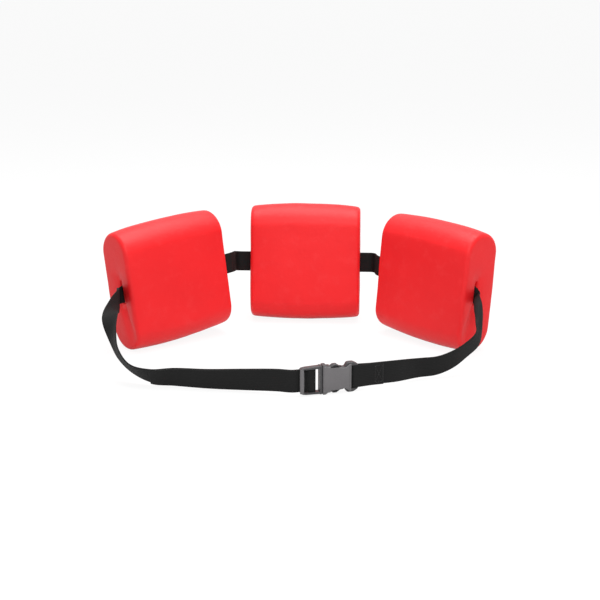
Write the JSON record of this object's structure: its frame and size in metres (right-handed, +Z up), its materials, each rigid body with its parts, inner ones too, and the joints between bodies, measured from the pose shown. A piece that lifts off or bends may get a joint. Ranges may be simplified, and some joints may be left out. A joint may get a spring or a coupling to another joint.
{
  "type": "swim belt",
  "caption": "Buoyancy belt for swimming lessons: smooth foam floats threaded on one black webbing strap, closed at the front by a side-release buckle with a ladder bar.",
  "frame": {"origin": "the floor under the middle of the belt's box", "axes": "+X to the right and +Y away for someone who looks at the buckle, +Z up; the belt stands on its floats with the buckle at the front, at -Y"},
  "size_m": [0.4624, 0.3482, 0.153],
  "materials": {
    "red_foam": "smooth closed-cell foam with a sealed satin skin",
    "black_webbing": "woven polypropylene webbing, matt",
    "black_thread": "twisted polyester sewing thread",
    "grey_plastic": "moulded acetal, fine satin"
  },
  "bodies": {
    "belt": {"webbing_in_left_float": "black_webbing", "webbing_left_gap": "black_webbing", "webbing_in_centre_float": "black_webbing", "webbing_right_gap": "black_webbing", "webbing_in_right_float": "black_webbing", "webbing_right_side": "black_webbing", "webbing_right_front": "black_webbing", "webbing_socket_loop": "black_webbing", "loop_stitching": "black_thread", "buckle_socket": "grey_plastic"},
    "left_float": {"float_left": "red_foam"},
    "centre_float": {"float_centre": "red_foam"},
    "right_float": {"float_right": "red_foam"},
    "plug": {"buckle_plug": "grey_plastic", "webbing_over_crossbar": "black_webbing", "webbing_left_front": "black_webbing", "webbing_left_side": "black_webbing"},
    "upper_prong": {"buckle_prong_upper": "grey_plastic"},
    "lower_prong": {"buckle_prong_lower": "grey_plastic"},
    "tail": {"webbing_tail": "black_webbing"}
  },
  "joints": [
    {"name": "left_float_slide", "type": "slide", "parent": "belt", "child": "left_float", "axis": [0.7729, 0.6297, 0.0782], "range_m": [0, 0.015]},
    {"name": "centre_float_slide", "type": "slide", "parent": "belt", "child": "centre_float", "axis": [0.9987, -0.0506, 0], "range_m": [-0.008, 0.008]},
    {"name": "right_float_slide", "type": "slide", "parent": "belt", "child": "right_float", "axis": [-0.6712, 0.7407, 0.0296], "range_m": [0, 0.015]},
    {"name": "plug_release", "type": "slide", "parent": "belt", "child": "plug", "axis": [-0.9516, -0.3074, 0], "range_m": [0, 0.033], "deforming": ["buckle_prong_upper", "buckle_prong_lower"]},
    {"name": "upper_prong_press", "type": "hinge", "parent": "plug", "child": "upper_prong", "pos_m": [0.02414, -0.1621, 0.0269], "axis": [-0.3074, 0.9516, 0], "range_deg": [0, 12], "stiffness_Nm_per_rad": 0.1},
    {"name": "lower_prong_press", "type": "hinge", "parent": "plug", "child": "lower_prong", "pos_m": [0.02414, -0.1621, 0.0067], "axis": [0.3074, -0.9516, 0], "range_deg": [0, 12], "stiffness_Nm_per_rad": 0.1},
    {"name": "tail_lift", "type": "hinge", "parent": "plug", "child": "tail", "pos_m": [-0.00044, -0.1693, 0.0168], "axis": [0, 0, 1], "range_deg": [0, 60], "stiffness_Nm_per_rad": 0.02}
  ]
}
